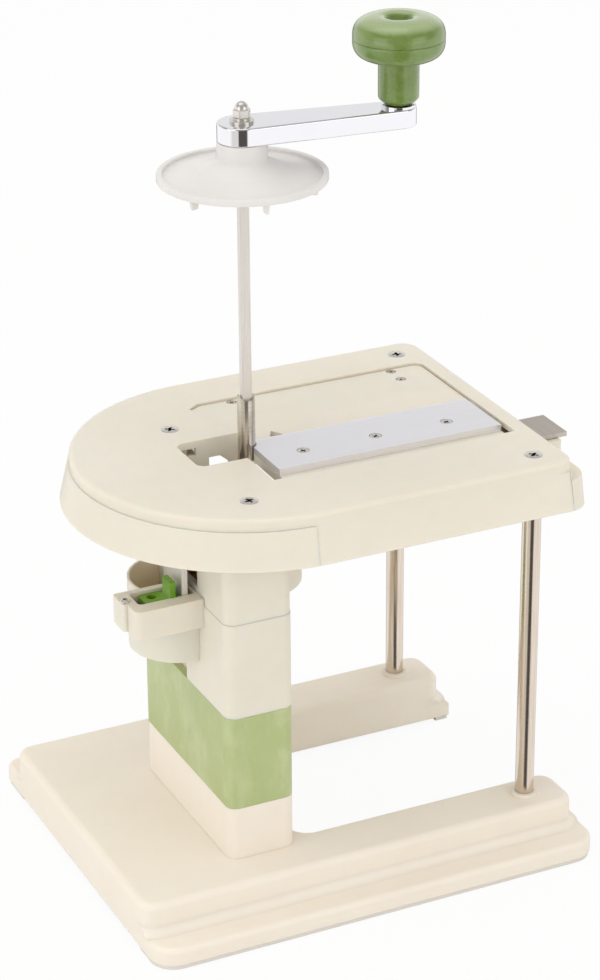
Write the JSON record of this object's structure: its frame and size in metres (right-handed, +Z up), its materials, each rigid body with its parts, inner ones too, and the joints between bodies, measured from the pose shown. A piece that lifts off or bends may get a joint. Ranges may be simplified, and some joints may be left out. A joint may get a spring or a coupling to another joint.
{
  "type": "rotary cabbage shredder",
  "caption": "Hand cranked table-top cabbage shredder: open U base, column and posts carry a flat blade table; a crank with a pronged disc turns the cabbage on a spindle.",
  "frame": {"origin": "on the surface the machine stands on, under the middle of its overall box", "axes": "+Z up along the crank axis, +X along the legs of the base towards the posts and the adjusting plate, +Y from the front of the machine to its back"},
  "size_m": [0.2688, 0.223, 0.4524],
  "materials": {
    "cream_plastic": "fine satin, warm ivory",
    "base_plastic": "satin, warm ivory",
    "green_plastic": "mottled pale green, satin",
    "bright_green_plastic": "bright green, semi-gloss",
    "white_plastic": "translucent white, satin",
    "foot_rubber": "pale, matt",
    "post_steel": "ground bar, satin",
    "bar_steel": "drawn square bar",
    "spindle_steel": "turned, warm reflections",
    "blade_steel": "fine ground",
    "plate_steel": "rolled sheet, satin",
    "arm_chrome": "mirror plated",
    "fastener_steel": "stainless",
    "plate_aluminium": "satin",
    "bush_plastic": "acetal"
  },
  "bodies": {
    "stand": {"base": "base_plastic", "front_foot_strip": "foot_rubber", "back_foot_strip": "foot_rubber", "front_post": "post_steel", "back_post": "post_steel", "post_screws": "fastener_steel", "column_sleeve": "green_plastic", "tie_rods": "post_steel", "tie_rod_nuts": "fastener_steel", "neck": "cream_plastic", "catch_screw": "fastener_steel", "tongue_plate": "plate_aluminium", "tongue_screws": "fastener_steel", "bearing_socket": "cream_plastic", "housing": "cream_plastic", "cover": "cream_plastic", "cover_screws": "fastener_steel", "blade": "blade_steel", "blade_screws": "fastener_steel", "blade_holder": "cream_plastic", "holder_screws": "fastener_steel", "hinge_pin": "fastener_steel", "upper_bush": "bush_plastic", "lower_bush": "bush_plastic"},
    "ramp": {"ramp_panel": "cream_plastic", "ramp_carrier": "cream_plastic", "ramp_screws": "fastener_steel"},
    "adjuster": {"adjusting_plate": "plate_steel"},
    "catch": {"release_catch": "bright_green_plastic"},
    "spindle": {"spindle_tube": "spindle_steel", "spindle_ring": "fastener_steel"},
    "crank": {"crank_bar": "bar_steel", "disc_pin": "fastener_steel", "presser_disc": "white_plastic", "crank_arm": "arm_chrome", "arm_washer": "fastener_steel", "spring_washer": "fastener_steel", "cap_nut": "fastener_steel", "knob_pin": "fastener_steel", "knob_washer": "fastener_steel"},
    "knob": {"knob_lower": "green_plastic", "knob_upper": "green_plastic"}
  },
  "joints": [
    {"name": "spindle_turn", "type": "hinge", "parent": "stand", "child": "spindle", "pos_m": [-0.0311, 0, 0.2], "axis": [0, 0, 1], "continuous": true},
    {"name": "crank_slide", "type": "slide", "parent": "spindle", "child": "crank", "axis": [0, 0, 1], "range_m": [-0.11, 0]},
    {"name": "knob_spin", "type": "hinge", "parent": "crank", "child": "knob", "pos_m": [0.0504, -0.01145, 0.43], "axis": [0, 0, 1], "continuous": true},
    {"name": "catch_slide", "type": "slide", "parent": "stand", "child": "catch", "axis": [1, 0, 0], "range_m": [-0.0044, 0]},
    {"name": "adjust_slide", "type": "slide", "parent": "stand", "child": "adjuster", "axis": [1, 0, 0], "range_m": [-0.0022, 0.0022]},
    {"name": "ramp_tilt", "type": "hinge", "parent": "stand", "child": "ramp", "pos_m": [0.0294, 0.057, 0.2215], "axis": [1, 0, 0], "range_deg": [-1.25, 1.25]}
  ],
  "couplings": [
    {"joint": "ramp_tilt", "follows": "adjust_slide", "rad_per_m": 9.6522}
  ]
}
